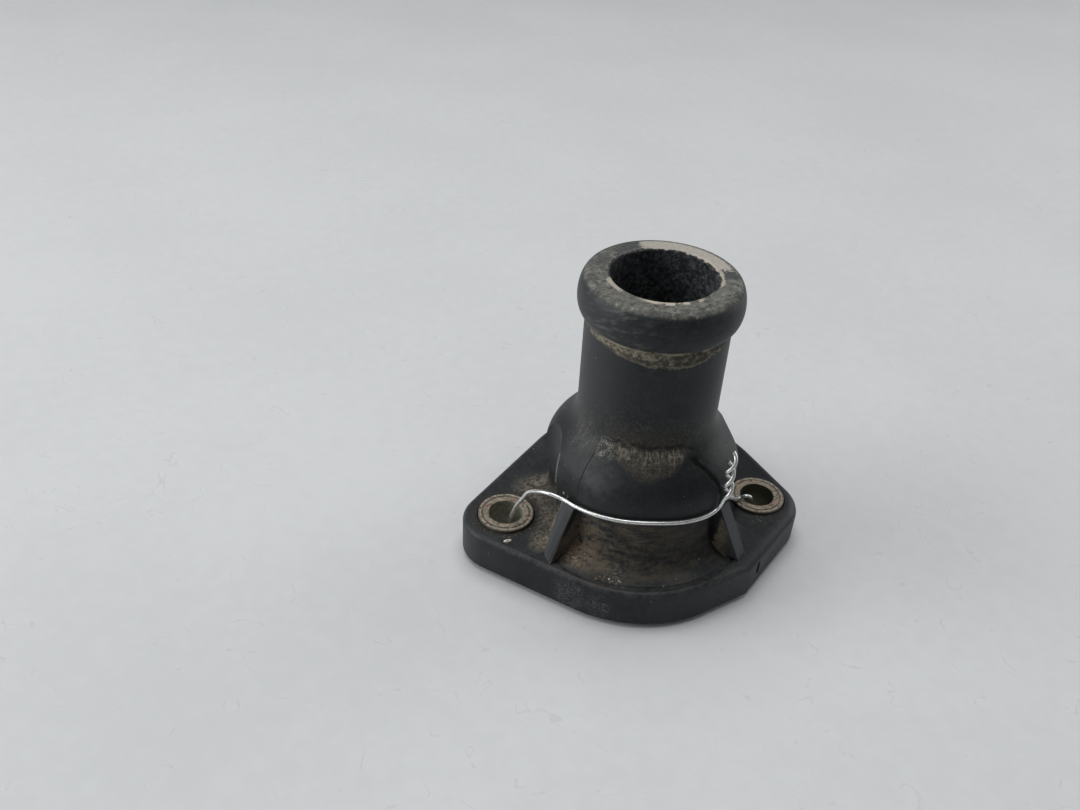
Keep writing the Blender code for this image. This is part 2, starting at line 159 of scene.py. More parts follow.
def hulled(pieces, name, flat):  # one skin round all, faces that lean less than flat degrees made one
    piece = joined(pieces, name)
    bpy.ops.object.mode_set(mode="EDIT")
    bpy.ops.mesh.select_all(action="SELECT")
    bpy.ops.mesh.convex_hull()
    bpy.ops.mesh.select_all(action="SELECT")
    bpy.ops.mesh.remove_doubles(threshold=0.05 * mm)
    bpy.ops.mesh.dissolve_limited(angle_limit=deg(flat))
    outward()
    return piece


def bevelled(piece, method, width, segments):
    bevel = piece.modifiers.new("edge", "BEVEL")
    bevel.limit_method = method
    bevel.angle_limit = deg(15)
    bevel.width = width * mm
    bevel.segments = segments
    bevel.use_clamp_overlap = method == "ANGLE"
    return applied(piece)


def placed(piece, x, y, z=0, turn=0):
    alone(piece)
    piece.location = (x * mm, y * mm, z * mm)
    piece.rotation_euler.z = deg(turn)
    bpy.ops.object.transform_apply()
    return piece


def boolean(piece, other, operation):
    modifier = piece.modifiers.new(other.name, "BOOLEAN")
    modifier.operation = operation
    modifier.solver = "EXACT"
    modifier.object = other
    applied(piece)
    bpy.data.objects.remove(other, do_unlink=True)


def finished(piece, material, angle=32):  # moved from the neck's axis to its place in the frame
    alone(piece)
    piece.location = axis
    bpy.ops.object.transform_apply()
    bpy.ops.object.shade_smooth_by_angle(angle=deg(angle))
    even = piece.modifiers.new("even", "WEIGHTED_NORMAL")  # flat faces stay flat beside their rounded edges
    even.keep_sharp = True
    even.weight = 80
    piece.data.materials.clear()
    piece.data.materials.append(material)
    return applied(piece)


# shader maths: a socket that takes part in sums, and one way to add any node

class Link:
    def __init__(self, shade, socket):
        self.shade = shade
        self.socket = socket

    def __add__(self, other):
        return self.shade.maths("ADD", self, other)

    def __sub__(self, other):
        return self.shade.maths("SUBTRACT", self, other)

    def __rsub__(self, other):
        return self.shade.maths("SUBTRACT", other, self)

    def __mul__(self, other):
        return self.shade.maths("MULTIPLY", self, other)

    def __pow__(self, other):
        return self.shade.maths("POWER", self, other)

    def __abs__(self):
        return self.shade.maths("ABSOLUTE", self)

    def __or__(self, other):  # the stronger of two masks
        return self.shade.maths("MAXIMUM", self, other)

    __radd__ = __add__
    __rmul__ = __mul__


class Shade:
    def __init__(self, name, values, finish):
        self.material = bpy.data.materials.new(name)
        self.values = values
        self.material.use_nodes = True
        self.tree = self.material.node_tree
        self.shader = self.tree.nodes["Principled BSDF"]
        for socket, value in finish.items():  # the same all over the piece
            self.shader.inputs[socket].default_value = value
        place = self.add("ShaderNodeTexCoord", output="Object")
        place = self.add("ShaderNodeVectorMath", {"operation": "SUBTRACT"}, {0: place, 1: tuple(axis)})
        self.place = self.add("ShaderNodeVectorMath", {"operation": "SCALE"}, {0: place, "Scale": 1 / mm})
        self.x, self.y, self.h = (self.add("ShaderNodeSeparateXYZ", inputs={0: self.place}, output=i)
                                  for i in range(3))
        self.reach = (self.x * self.x + self.y * self.y) ** 0.5
        self.angle = self.maths("ARCTAN2", self.y, self.x) * (180 / math.pi)
        self.colour = self.rough = self.metal = self.relief = None  # relief in mm

    def add(self, kind, settings=None, inputs=None, output=0):
        node = self.tree.nodes.new(kind)
        for name, value in (settings or {}).items():
            setattr(node, name, value)
        for name, value in (inputs or {}).items():
            if isinstance(value, Link):
                self.tree.links.new(value.socket, node.inputs[name])
            else:
                node.inputs[name].default_value = value
        return Link(self, node.outputs[output])

    def maths(self, operation, *values):
        return self.add("ShaderNodeMath", {"operation": operation}, dict(enumerate(values)))

    def point(self, x, y, z):
        return self.add("ShaderNodeCombineXYZ", inputs={0: x, 1: y, 2: z})

    def noise(self, scale, detail=4, roughness=0.55, at=None, shift=0.0, distortion=0.0):
        at = at or self.place
        if shift:
            at = self.add("ShaderNodeVectorMath", {"operation": "ADD"}, {0: at, 1: (shift, -shift, shift * 0.7)})
        return self.add("ShaderNodeTexNoise", inputs={"Vector": at, "Scale": scale, "Detail": detail,
                                                      "Roughness": roughness, "Distortion": distortion})

    def ramp(self, value, low, high):  # 0 up to low, 1 from high, smooth between, either way round
        return self.add("ShaderNodeMapRange", {"interpolation_type": "SMOOTHSTEP"},
                        {"Value": value, "From Min": low, "From Max": high})

    def window(self, value, low, high, soft):
        return self.ramp(value, low - soft, low + soft) * (1 - self.ramp(value, high - soft, high + soft))

    def near(self, spot, inner, outer):  # a round patch about a point in mm
        away = self.add("ShaderNodeVectorMath", {"operation": "DISTANCE"}, {0: self.place, 1: spot}, output=1)
        return 1 - self.ramp(away, inner, outer)

    def lines(self, noise, low, high):  # thin lines where a noise crosses its middle
        return 1 - self.ramp(abs(noise - 0.5), low, high)

    def grains(self, scale, size, share, shift):  # small round specks, in a share of the cells
        at = self.add("ShaderNodeVectorMath", {"operation": "ADD"}, {0: self.place, 1: (shift, shift, shift)})
        cells = {"Vector": at, "Scale": scale, "Randomness": 1.0}
        away = self.add("ShaderNodeTexVoronoi", inputs=cells, output="Distance")
        pick = self.add("ShaderNodeTexVoronoi", inputs=cells, output="Color")
        pick = self.add("ShaderNodeSeparateColor", inputs={0: pick}, output=0)
        return (1 - self.ramp(away, size * 0.6, size)) * self.ramp(pick, 1 - share, 1 - share + 0.02)

    def mix(self, factor, a, b):  # links, colours or names of the piece's colours
        a, b = (self.values[c] if isinstance(c, str) else c for c in (a, b))
        a, b = ((*c, 1) if isinstance(c, tuple) else c for c in (a, b))
        return self.add("ShaderNodeMix", {"data_type": "RGBA"}, {0: factor, 6: a, 7: b}, output=2)

    def blend(self, factor, a, b):  # numbers
        return self.add("ShaderNodeMix", {"data_type": "FLOAT"}, {0: factor, 2: a, 3: b}, output=0)

    def paint(self, mask, colour):  # over the colour so far
        self.colour = self.mix(mask, self.colour, colour)

    def dull(self, mask, rough):
        self.rough = self.blend(mask, self.rough, rough)

    def finish(self):
        for name, value in (("Base Color", self.colour), ("Roughness", self.rough), ("Metallic", self.metal)):
            if value:
                self.tree.links.new(value.socket, self.shader.inputs[name])
        if self.relief:
            bump = self.add("ShaderNodeBump", inputs={"Strength": 1.0, "Distance": mm, "Height": self.relief})
            self.tree.links.new(bump.socket, self.shader.inputs["Normal"])
        return self.material


# the plate: the hull of four discs and one corner, with its top edge rounded more towards the right

plate = {
    "thick": 9.5, "ear": 10.45, "front": 30.3, "back": 33.0,
    # the directions that the straight edges face, in degrees
    "flat": -68.0, "rightFront": -45.6, "rightBack": 18.0, "leftBack": 138.8,
    "foot": 0.3,  # rounding of the lower edge; the upper one is by direction
    "rounding": ((-130, 1.1), (-60, 1.1), (-46, 3.0), (-38, 3.0), (18, 3.3), (139, 2.1), (232, 1.1)),
}


def stepped(value, stops):  # straight lines between (place, value) stops
    for (a, low), (b, high) in zip(stops, stops[1:]):
        if value <= b:
            return low + (high - low) * max(0, value - a) / (b - a)
    return stops[-1][1]


def earLine(facing, side):
    return side * halfSpacing * math.cos(deg(facing)) + plate["ear"]


def meet(facingA, distA, facingB, distB):
    a, b = deg(facingA), deg(facingB)
    return ((distA * math.sin(b) - distB * math.sin(a)) / math.sin(b - a),
            (distB * math.cos(a) - distA * math.cos(b)) / math.sin(b - a))


plateCorner = meet(plate["flat"], plate["front"], plate["rightFront"], earLine(plate["rightFront"], 1))
backCentre = meet(plate["rightBack"], earLine(plate["rightBack"], 1) - plate["back"],
                  plate["leftBack"], earLine(plate["leftBack"], -1) - plate["back"])


def makePlate():
    ear, thick = plate["ear"], plate["thick"]
    discs = [column("disc", x, y, radius, 0, thick, corners) for x, y, radius, corners in (
        (*plateCorner, 0.01, 3), (-halfSpacing, 0, ear, 128), (halfSpacing, 0, ear, 128),
        (0, 0, plate["front"], 288), (*backCentre, plate["back"], 288))]
    piece = hulled(discs, "flange", 0.25)
    widest = max(width for _, width in plate["rounding"])
    start = plate["rounding"][0][0]
    weights = piece.data.attributes.new("bevel_weight_edge", "FLOAT", "EDGE")
    for edge in piece.data.edges:
        a, b = (piece.data.vertices[i].co for i in edge.vertices)
        if abs(a.z - b.z) > 0.01 * mm:
            continue
        run = b - a
        facing = math.degrees(math.atan2(-run.x, run.y))
        middle = (a + b) / 2
        if math.cos(deg(facing)) * middle.x + math.sin(deg(facing)) * middle.y < 0:
            facing += 180
        facing = (facing - start) % 360 + start
        top = a.z > thick / 2 * mm
        weights.data[edge.index].value = (stepped(facing, plate["rounding"]) if top else plate["foot"]) / widest
    return bevelled(piece, "WEIGHT", widest, 7)


# the cover: skirt, dome, shoulder, neck and bead in one turned form, with the pad, ribs and bolt-head room

cover = {
    "skirtFoot": 27.6, "skirtTop": 21.5, "skirtHeight": 14.3,
    "dome": 22.8, "lip": 1.0, "shoulderStart": 2.4, "shoulderMid": 11.0, "shoulderEnd": 18.0,
    "neck": 16.0, "bead": 18.0, "beadDown": 5.2, "beadUnder": 4.1, "mouth": 15.7,
}
domeFoot = plate["thick"] + cover["skirtHeight"]
beadZ = mouthZ - cover["beadDown"]

pad = {"grow": 0.5, "shift": (0.55, -0.45), "left": -141.0, "rightX": 15.6, "rightY": -16.9, "top": 15.0,
       "fade": (-1.2, 0.9), "step": 1.4}
rib = {"thick": 4.0, "angles": (-147.7, -44.0), "drop": 1.6, "edge": 0.3,
       "feet": (((29.1, -0.8), (30.3, 2.7)), ((29.7, -1.7), (29.5, 2.4)))}
headRoom = {"radius": 12.3}
groove = {"width": 1.1, "depth": 0.5, "short": 2.0, "far": 60, "high": 20}
passage = {"bore": 11.45, "lip": 0.35, "wall": 4.3, "registerStep": 4.1, "registerDepth": 3.4, "chamfer": 1.0,
           "roof": 4.4}
prySlot = {"along": 4.8, "width": 1.25, "height": 3.7, "depth": 0.9, "z": 5.0}


def aim(degrees, length):  # a point that far out in that direction
    return Vector((math.cos(deg(degrees)), math.sin(deg(degrees)))) * length


def domeProfile(grow):
    wide, neck = cover["dome"] + grow, cover["neck"] + grow
    top = (wide, domeFoot + cover["lip"] + cover["shoulderStart"])
    foot = (cover["skirtTop"], domeFoot - 0.4)
    points = [foot] + curveTo(foot, (foot[0], domeFoot + 0.3), (wide, domeFoot + 0.1),
                              (wide, domeFoot + cover["lip"] + 0.4), 6)
    bend = domeFoot + cover["shoulderMid"]
    return points + [top] + curveTo(top, (wide, bend), (neck, bend), (neck, domeFoot + cover["shoulderEnd"]), 22)


def makeCover():
    foot, thick, rise = cover["skirtFoot"], plate["thick"], cover["skirtHeight"]
    waist, neck = cover["skirtTop"], cover["neck"]
    points = [(0, thick / 2), (foot, thick / 2), (foot, thick)]
    points += curveTo(points[-1], (foot - (foot - waist) * 0.85, thick + rise * 0.06),
                      (waist, thick + rise * 0.25), (waist, thick + rise * 0.62), 16)
    points += domeProfile(0)
    under = beadZ - cover["beadUnder"]
    points += [(neck, (points[-1][1] + under) / 2), (neck, under - 0.5)]
    points += curveTo(points[-1], (neck, under - 0.1), (neck + 0.05, under), (neck + 0.35, under), 4)
    points += quarter((neck, beadZ), cover["bead"] - neck, cover["beadUnder"], -90, 12)[2:]
    points += quarter((cover["mouth"], beadZ), cover["bead"] - cover["mouth"], cover["beadDown"], 0, 12)
    return turned("cover", points + [(0, mouthZ)])


def makePad():
    outside = [p for p in domeProfile(pad["grow"]) if p[1] < domeFoot + pad["top"]]
    outside.append(tuple(a + b for a, b in zip(outside[-1], pad["fade"])))  # into the shoulder
    piece = turned("pad", [(0, domeFoot - 0.4)] + outside + [(0, outside[-1][1])])
    placed(piece, *pad["shift"])
    reach, neck, x, y = 1.6 * cover["dome"], cover["neck"], pad["rightX"], pad["rightY"]
    outline = [aim(pad["left"], 1) * neck / 2, aim(pad["left"], 1) * reach, (0, -reach), (reach, -reach),
               (reach, y), (x, y), (neck / 4, y + pad["step"]), (0, -neck / 2)]
    boolean(piece, prism("window", outline, 0, mouthZ), "INTERSECT")
    return piece


def makeRib(angle, foot):  # hulled from its root and the two corners of its foot
    thick, top = plate["thick"], domeFoot - rib["drop"]
    inner, shoulder = cover["skirtTop"] - rib["thick"], cover["dome"] + fitGap
    side = [(inner, thick / 2), (shoulder, thick / 2), (shoulder, top), (inner, top + rib["drop"] / 2)]
    root = prism("root", side, -rib["thick"] / 2, rib["thick"] / 2)
    alone(root)
    root.rotation_euler = (deg(90), 0, 0)
    bpy.ops.object.transform_apply()
    (x0, y0), (x1, y1) = foot
    tip = traced("tip", [(x0, y0, thick / 2), (x0, y0, thick - 0.15)])
    bpy.ops.mesh.duplicate_move(TRANSFORM_OT_translate={"value": ((x1 - x0) * mm, (y1 - y0) * mm, 0)})
    piece = bevelled(hulled([root, tip], "rib", 1), "ANGLE", rib["edge"], 3)
    return placed(piece, 0, 0, 0, angle)


def makePassage():
    bore, lip, chamfer, depth = (passage[key] for key in ("bore", "lip", "chamfer", "registerDepth"))
    cavity = cover["skirtTop"] - passage["wall"]
    register = cavity + passage["registerStep"]
    roof = domeFoot + cover["shoulderStart"]
    rise = cover["shoulderEnd"] - passage["roof"]
    points = [(0, -beyond), (register, -beyond), (register, depth - chamfer), (register - chamfer, depth),
              (cavity, depth), (cavity, roof)]
    points += curveTo(points[-1], (cavity, roof + rise * 0.55), (bore, roof + rise * 0.35), (bore, roof + rise), 14)
    points += [(bore, mouthZ - lip)]
    points += quarter((bore + lip, mouthZ - lip), -lip, lip, 0, 5)
    points += [(points[-1][0], mouthZ + beyond), (0, mouthZ + beyond)]
    return turned("passage", points)


def makeGroove():
    half, top = groove["width"] / 2, plate["thick"]
    middle = cover["skirtFoot"] + half
    section = ((-1, 0.3), (-1, 0), (-0.4, -0.8 * groove["depth"]), (0, -groove["depth"]),
               (0.4, -0.8 * groove["depth"]), (1, 0), (1, 0.3), (-1, 0.3))
    piece = turned("groove", [(middle + half * across, top + up) for across, up in section])
    start, stop = rib["angles"][0] + groove["short"], rib["angles"][1] - groove["short"]
    fan = [aim(a, groove["far"]) for a in (start, (start + stop) / 2, stop)]
    wedge = prism("wedge", [(0, 0)] + fan, 0, groove["high"])
    boolean(piece, wedge, "INTERSECT")
    return piece


def makeFlange():
    piece = makePlate()
    for side in (-1, 1):
        top = plate["thick"] + beyond
        bore = column("bore", side * halfSpacing, 0, bushOuter + fitGap, -beyond, top, 128)
        boolean(piece, bore, "DIFFERENCE")
    facing = plate["rightFront"]
    x, y = Vector(plateCorner) + aim(facing + 90, prySlot["along"])
    deselect()
    bpy.ops.mesh.primitive_cube_add(size=mm)
    slot = named("slot")
    slot.scale = (2 * prySlot["depth"], prySlot["width"], prySlot["height"])
    boolean(piece, placed(slot, x, y, prySlot["z"], facing), "DIFFERENCE")
    form = makeCover()
    boolean(form, makePad(), "UNION")
    for angle, foot in zip(rib["angles"], rib["feet"]):
        boolean(form, makeRib(angle, foot), "UNION")
    for side in (-1, 1):
        boolean(form, column("room", side * halfSpacing, 0, headRoom["radius"], 0, mouthZ), "DIFFERENCE")
    boolean(piece, form, "UNION")
    boolean(piece, makeGroove(), "DIFFERENCE")
    boolean(piece, makePassage(), "DIFFERENCE")
    alone(piece)
    bpy.ops.object.mode_set(mode="EDIT")
    bpy.ops.mesh.select_all(action="SELECT")
    bpy.ops.mesh.remove_doubles(threshold=0.005 * mm)  # slivers that the cuts leave
    bpy.ops.object.mode_set(mode="OBJECT")
    finished(piece, plasticShade())
    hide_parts("flange_body")
    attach(piece, "root")
    print("flange", len(piece.data.polygons), "faces")


# aged black plastic: colours are linear, places are in mm or in degrees round the neck (-90 is the front)

grime = {
    "plastic": (0.0075, 0.0096, 0.0108), "faded": (0.0125, 0.0152, 0.0168), "film": (0.066, 0.075, 0.076),
    "fibre": (0.115, 0.120, 0.120), "scuff": (0.120, 0.124, 0.122), "padScuff": (0.085, 0.088, 0.088),
    "padFrontShade": (0.0050, 0.0062, 0.0072), "neckLeftLight": (0.036, 0.040, 0.042),
    "ringHeight": (61.1, 65.2), "ringTan": (0.330, 0.300, 0.225), "ringDark": (0.030, 0.028, 0.023),
    "brown": (0.088, 0.077, 0.058), "fawn": (0.150, 0.130, 0.098), "cream": (0.38, 0.355, 0.30),
    "dust": (0.122, 0.102, 0.076), "tan": (0.198, 0.142, 0.090), "rust": (0.26, 0.135, 0.065),
    "crown": (0.046, 0.050, 0.055), "brink": (0.260, 0.222, 0.190), "lens": (0.185, 0.155, 0.112),
    "earDust": (0.178, 0.155, 0.118), "rightEarShade": (0.0048, 0.0058, 0.0068), "leftSideLight": (0.032, 0.036, 0.038),
    "roomEdgeHighlight": (0.300, 0.280, 0.280), "worn": (0.072, 0.077, 0.080), "crud": (0.060, 0.054, 0.044),
    "chalk": (0.150, 0.150, 0.130), "chalkDark": (0.052, 0.054, 0.052), "chalkFine": (0.29, 0.285, 0.26),
    "chalkGrey": (0.235, 0.235, 0.220), "chalkSoot": (0.046, 0.048, 0.048), "chalkPale": (0.310, 0.305, 0.280),
    "patch": (0.39, 0.37, 0.33), "patchDark": (0.33, 0.31, 0.275), "mouthBack": (0.050, 0.053, 0.056),
    "scab": (0.055, 0.058, 0.060), "lip": (0.46, 0.415, 0.35),
    "crust": (0.019, 0.024, 0.029), "crustPale": (0.105, 0.113, 0.117), "fleck": (0.30, 0.30, 0.275),
    # the darkest colours: dark grit, and painted shade in grooves, creases and beside the ribs
    "sootAndShade": (0.0045, 0.0048, 0.0055), "scratch": (0.230, 0.235, 0.232), "speck": (0.30, 0.29, 0.26),
    "mark": (0.45, 0.44, 0.41), "creaseShade": (0.0016, 0.0018, 0.0022),
}


def mouldedSkin(s):  # faded and filmed over, with fibres showing
    s.colour = s.mix(s.ramp(s.noise(0.11, 4, 0.55), 0.35, 0.65), "plastic", "faded")
    film = s.ramp(s.mottle * 0.6 + s.patchy * 0.4, 0.40, 0.78) * 0.26 + s.ramp(s.drawn, 0.5, 0.75) * 0.09
    s.paint(film, "film")
    slanted = s.point(s.x * 0.7 + s.h, s.y * 1.6, s.h * 0.6 - s.x)
    s.paint(s.ramp(s.noise(2.2, 3, 0.7, at=slanted, shift=27), 0.60, 0.72) * 0.16, "fibre")
    s.rough = s.blend(s.mottle, 0.40, 0.56)
    s.relief = s.fine * 0.010 + s.mottle * 0.018


def scuffs(s):  # scuffs on the bead and pad, painted shade on the pad's front and painted light on the neck's left side
    bead = s.window(s.h, 65.0, 74.0, 0.6) * (1 - s.ramp(s.reach, 16.0, 15.4))
    rubbed = s.point(s.angle * 0.10 + s.h * 0.45, s.h * 1.1 - s.angle * 0.10, 0.0)
    rub = s.ramp(s.noise(1.0, 4, 0.6, at=rubbed, shift=9), 0.46, 0.74)
    s.paint(bead * rub * (0.13 + 0.80 * s.near((-13.5, -10.5, 69.5), 2.0, 12.0)), "scuff")
    s.paint(s.near((-14.0, -15.2, 32.0), 1.5, 7.0) * s.ramp(s.patchy, 0.35, 0.65) * 0.42, "padScuff")
    # painted shade over the front of the pad
    s.paint(s.near((2.0, -23.0, 28.0), 5.0, 14.0) * 0.45, "padFrontShade")
    # painted light: the left side of the neck and bead made paler
    litLeft = s.window(s.angle, -215, -128, 16) | s.window(s.angle, 145, 200, 16)
    s.paint(litLeft * s.outside * s.window(s.h, 36, 74, 3) * 0.46, "neckLeftLight")


def scaleRing(s):  # tan scale left round the neck by the hose's end
    low, high = grime["ringHeight"]
    ragged = s.h + s.swell * 1.0 + s.wave * 1.1 - (low + 1.8 * (1 - s.window(s.angle, -132, -58, 26)))
    ring = s.ramp(ragged, -0.35, 0.35) * (1 - s.ramp(s.h, high, high + 0.6))
    ring = ring * (0.40 + 0.60 * s.window(s.angle, -150, -48, 14)) * (1 - s.ramp(s.reach, 16.9, 17.4)) * s.outside
    crumbs = s.ramp(s.noise(1.0, 7, 0.72, at=s.point(s.angle * 0.20, s.h * 0.95, s.reach), shift=21), 0.42, 0.66)
    scale = s.mix(crumbs * 0.80 + s.fine * 0.15, "ringDark", "ringTan")
    s.paint(ring * (0.55 + 0.45 * s.ramp(s.mottle, 0.35, 0.55)), scale)
    s.dull(ring, 0.90)
    s.relief += ring * (0.06 + crumbs * 0.14)
    edge = s.window(s.h + s.wave * 2.0, 63.0, 64.4, 0.4) * s.window(s.angle, -172, -100, 9) * s.outside
    edge = edge * s.ramp(s.fine * 0.4 + s.mottle * 0.6, 0.44, 0.58) * 0.75
    rims = s.window(s.h + s.wave * 0.5, 64.1, 64.7, 0.18) * s.window(s.angle, -150, -60, 8)
    rims = rims | s.window(ragged, -0.15, 0.45, 0.22) * s.window(s.angle, -140, -60, 10) * 0.35
    edge = (edge | rims * s.ramp(s.patchy, 0.36, 0.52) * 0.8) * (1 - s.ramp(s.reach, 16.6, 17.1)) * s.outside
    s.paint(edge, "ringTan")


def shoulderGrit(s):  # brown grit that ran down on to the shoulder, with cream scale in it, and a band of painted shade under the neck
    lobe = abs(s.angle + 101.0)
    foot = 34.2 + lobe * lobe * 0.0050 + s.swell * 4.5
    grit = s.ramp(s.h - foot, -0.6, 1.6) * (1 - s.ramp(s.h, 39.5, 46.5)) * s.window(s.angle, -136, -72, 7) * s.outside
    mask = grit * (0.22 + 0.78 * s.ramp(s.noise(1.9, 6, 0.78, shift=40), 0.43, 0.60))
    s.paint(mask * 0.92, "brown")
    veins = s.lines(s.noise(0.30, 7, 0.68, shift=52, distortion=0.4), 0.004, 0.030)
    crumble = s.noise(1.3, 7, 0.75, at=s.point(s.angle * 0.11, s.h * 1.25, s.reach * 0.2), shift=54)
    fibre = s.noise(1.0, 6, 0.72, at=s.point(s.angle * 0.62, s.h * 0.42, s.reach * 0.2), shift=58)
    crumble = s.ramp(crumble, 0.47, 0.66) * 0.45 + s.ramp(fibre, 0.47, 0.60) * 0.55
    pale = grit * s.window(s.h + s.wave * 4 + s.swell * 4, 35.6, 39.8, 1.2) * (crumble * 0.85 + veins * 0.15)
    pale = pale * s.ramp(s.patchy, 0.30, 0.48)
    s.paint(pale * 0.95, s.mix(s.ramp(s.h + s.swell * 2, 35.8, 38.6), "fawn", "cream"))
    # painted shade in a band just below where the shoulder meets the neck
    shade = grit * s.window(s.h + s.wave * 2.2, 39.6, 40.9, 0.5) * s.ramp(s.patchy, 0.40, 0.52)
    s.paint(shade * 0.75, "sootAndShade")
    s.dull(grit, 0.85)
    s.relief = s.relief + mask * 0.09 + pale * 0.08
    curl = s.near((-12.2, -12.2, 38.2), 0.5, 3.6) * s.ramp(crumble * 0.6 + veins * 0.45, 0.30, 0.60)
    streak = s.near((-16.4, -6.0, 38.6), 2.0, 6.5) * s.ramp(s.drawn * 0.35 + s.fine * 0.65, 0.50, 0.64)
    s.paint(curl * 0.75 + streak * 0.32, "cream")
    around = s.window(s.h, 38.0, 48.0, 4.0) * s.ramp(s.mottle, 0.45, 0.70) * s.outside
    s.paint(around * 0.22, "dust")


def skirtDust(s):  # drawn out round the skirt, thickest at the left
    sweep = s.noise(1.0, 5, 0.62, at=s.point(s.angle * 0.07, s.h * 0.95, s.reach * 0.3))
    skirt = s.window(s.h, 9.7, 23.2, 0.8) * s.window(s.angle, -143.5, -51, 3.5) * s.ramp(s.reach, 19.5, 20.5)
    leftward = 1 - s.ramp(s.angle, -132, -78)
    dusty = s.ramp(sweep * 0.45 + s.mottle * 0.25 + s.fine * 0.12 + s.patchy * 0.18, 0.40, 0.60)
    s.paint(skirt * dusty * (0.50 + 0.46 * leftward) * s.ramp(s.patchy, 0.18, 0.42), "dust")
    s.dull(skirt * dusty, 0.82)
    s.relief += skirt * sweep * 0.07
    speckle = s.noise(1.5, 6, 0.75, at=s.point(s.angle * 0.32, s.h * 1.1, s.reach * 0.9), shift=63)
    sparkle = s.near((-17.3, -16.2, 11.2), 1.4, 5.2) | s.near((-10.4, -24.6, 9.8), 0.8, 4.2) * 0.8
    sparkle = s.ramp(speckle, 0.535, 0.625) * (sparkle | s.near((-19.0, -12.0, 17.0), 0.5, 5.0) * 0.45)
    s.paint(sparkle * 0.80, "cream")
    embers = s.near((-11.2, -24.8, 9.7), 0.6, 3.6) | s.near((-17.5, -15.8, 11.0), 0.6, 3.4) * 0.5
    s.paint(s.ramp(s.noise(1.9, 3, 0.6, shift=77), 0.60, 0.66) * embers * 0.55, "rust")
    tanned = s.near((-17.6, -15.6, 12.5), 1.5, 8.5)
    tanned = tanned * s.ramp(s.mottle * 0.5 + s.fine * 0.2 + sweep * 0.3, 0.40, 0.56) * skirt
    s.paint(tanned * 0.74, "tan")
    # painted shade in the groove round the skirt's foot
    grooveShade = s.window(s.reach, 27.7, 29.2, 0.35) * s.window(s.h, 8.6, 9.8, 0.2) * s.window(s.angle, -138, -50, 5)
    s.paint(grooveShade * 0.45, "sootAndShade")


def ribWear(s):  # pale along the top, painted shade and dust on the side towards the front
    half = rib["thick"] / 2
    for side, tilt in zip((1, -1), rib["angles"]):
        aside = (s.y * math.cos(deg(tilt)) - s.x * math.sin(deg(tilt))) * side
        along = s.y * math.sin(deg(tilt)) + s.x * math.cos(deg(tilt))
        body = s.ramp(along, 20.6, 21.2) * s.window(s.h, 9.75, 24.0, 0.15)
        crown = s.window(aside, -half + 0.1, half - 0.1, 0.12) * body * s.ramp(s.reach, 22.0, 22.6)
        s.paint(crown * (0.50 + s.mottle * 0.5), "crown")
        flank = s.window(aside, half - 0.12, half + 0.35, 0.06) * body
        below = 22.2 - (along - 23.1) * 1.55 - s.h + s.wave * 1.5  # how far down from the rib's crown
        if side > 0:
            # painted shade on the upper front face of the left rib, dust lower down
            s.paint(flank * (1 - s.ramp(below, 1.8, 4.4)) * 0.9, "sootAndShade")
            s.paint(flank * s.ramp(below, 2.6, 4.6) * s.ramp(s.mottle, 0.36, 0.56) * 0.8, "dust")
            earSide = s.window(aside + s.wave * 2.5, -half - 3.6, -half + 0.3, 0.35)
            earSide = earSide * s.window(along, 21.5, 30.0, 1.2) * s.window(s.h, 8.5, 19.5, 1.0) * (1 - crown)
            earSide = earSide * s.ramp(s.fine * 0.55 + s.mottle * 0.45, 0.40, 0.54)
            s.paint(earSide * (1 - s.ramp(along, 25.0, 31.0) * 0.70) * 0.80, "earDust")
            brink = s.window(aside, -half - 0.05, -half + 0.30, 0.08) * body * s.ramp(s.mottle, 0.34, 0.50)
            s.paint(brink * 0.70, "brink")
        else:
            # painted shade on the right rib's front face and on the skirt beside it, with dust laid over the face
            shadeBeside = s.window(aside, half + 0.1, half + 1.3, 0.35) * body * (1 - s.ramp(s.h, 19.0, 22.0))
            lens = flank * s.ramp(s.reach + s.wave * 1.4 - (s.h - 15.0) * 0.12, 22.6, 23.6) * s.ramp(below, 0.7, 1.5)
            s.paint(flank * 0.6 | shadeBeside * 0.7, "sootAndShade")
            s.paint(lens * (0.40 + 0.60 * s.ramp(s.fine * 0.5 + s.mottle * 0.5, 0.40, 0.60)), "lens")
    edge = s.window(s.angle, -147.5, -141.6, 1.2) * s.window(s.h, 10.0, 21.0, 1.5) * s.ramp(s.reach, 20, 21)
    s.paint(edge * 0.5, "sootAndShade")  # painted shade beside the left rib
